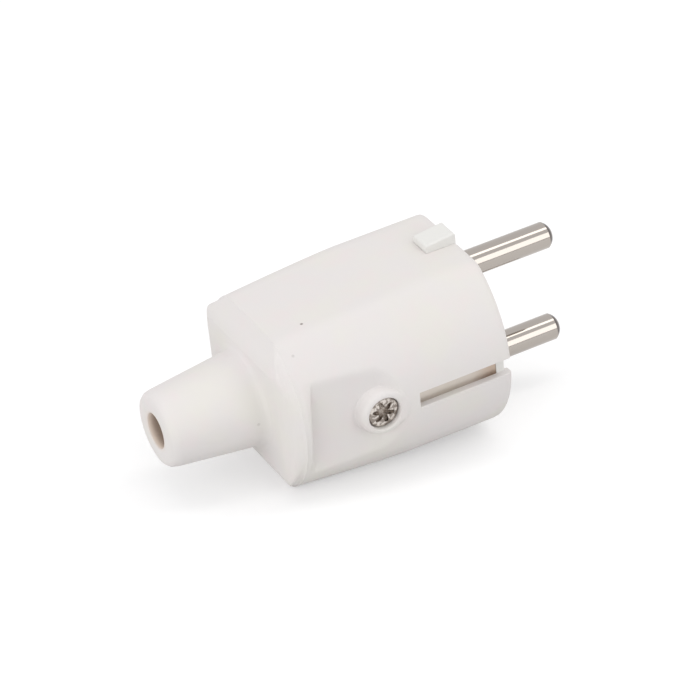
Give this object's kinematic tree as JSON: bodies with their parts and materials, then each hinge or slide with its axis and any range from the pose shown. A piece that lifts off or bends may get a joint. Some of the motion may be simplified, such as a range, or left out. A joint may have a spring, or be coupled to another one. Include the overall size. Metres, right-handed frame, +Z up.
{
  "type": "rewirable rubber mains plug",
  "caption": "Soft rubber mains plug with round pins, earth contacts in side slots, a side screw and a tapered cord grommet.",
  "frame": {"origin": "centre of the front face, where the pins leave the insert", "axes": "+X along the pins to their tips, +Z up, along the line through both pins; the screw of the cover is on the -Y side"},
  "size_m": [0.0774, 0.0374, 0.0364],
  "materials": {
    "cover_rubber": "satin, warm off-white, a little soiled",
    "insert_plastic": "white thermoplastic, semi-gloss",
    "bridge_plastic": "off-white thermoplastic",
    "pin_nickel": "nickel plated and polished",
    "earth_nickel": "nickel plated sheet",
    "steel": "zinc plated"
  },
  "bodies": {
    "root": {"rubber_cover": "cover_rubber", "contact_carrier": "insert_plastic", "line_pin": "pin_nickel", "neutral_pin": "pin_nickel", "line_terminal_screw": "steel", "neutral_terminal_screw": "steel", "earth_strip": "earth_nickel", "earth_terminal_washer": "steel", "earth_terminal_screw": "steel", "earth_terminal_nut": "steel", "rear_bridge": "bridge_plastic", "upper_bridge_screw": "steel", "lower_bridge_screw": "steel", "cover_screw": "steel", "cover_screw_nut": "steel", "cord_clamp_bar": "bridge_plastic", "near_clamp_screw": "steel", "far_clamp_screw": "steel", "near_clamp_nut": "steel", "far_clamp_nut": "steel"}
  },
  "joints": []
}
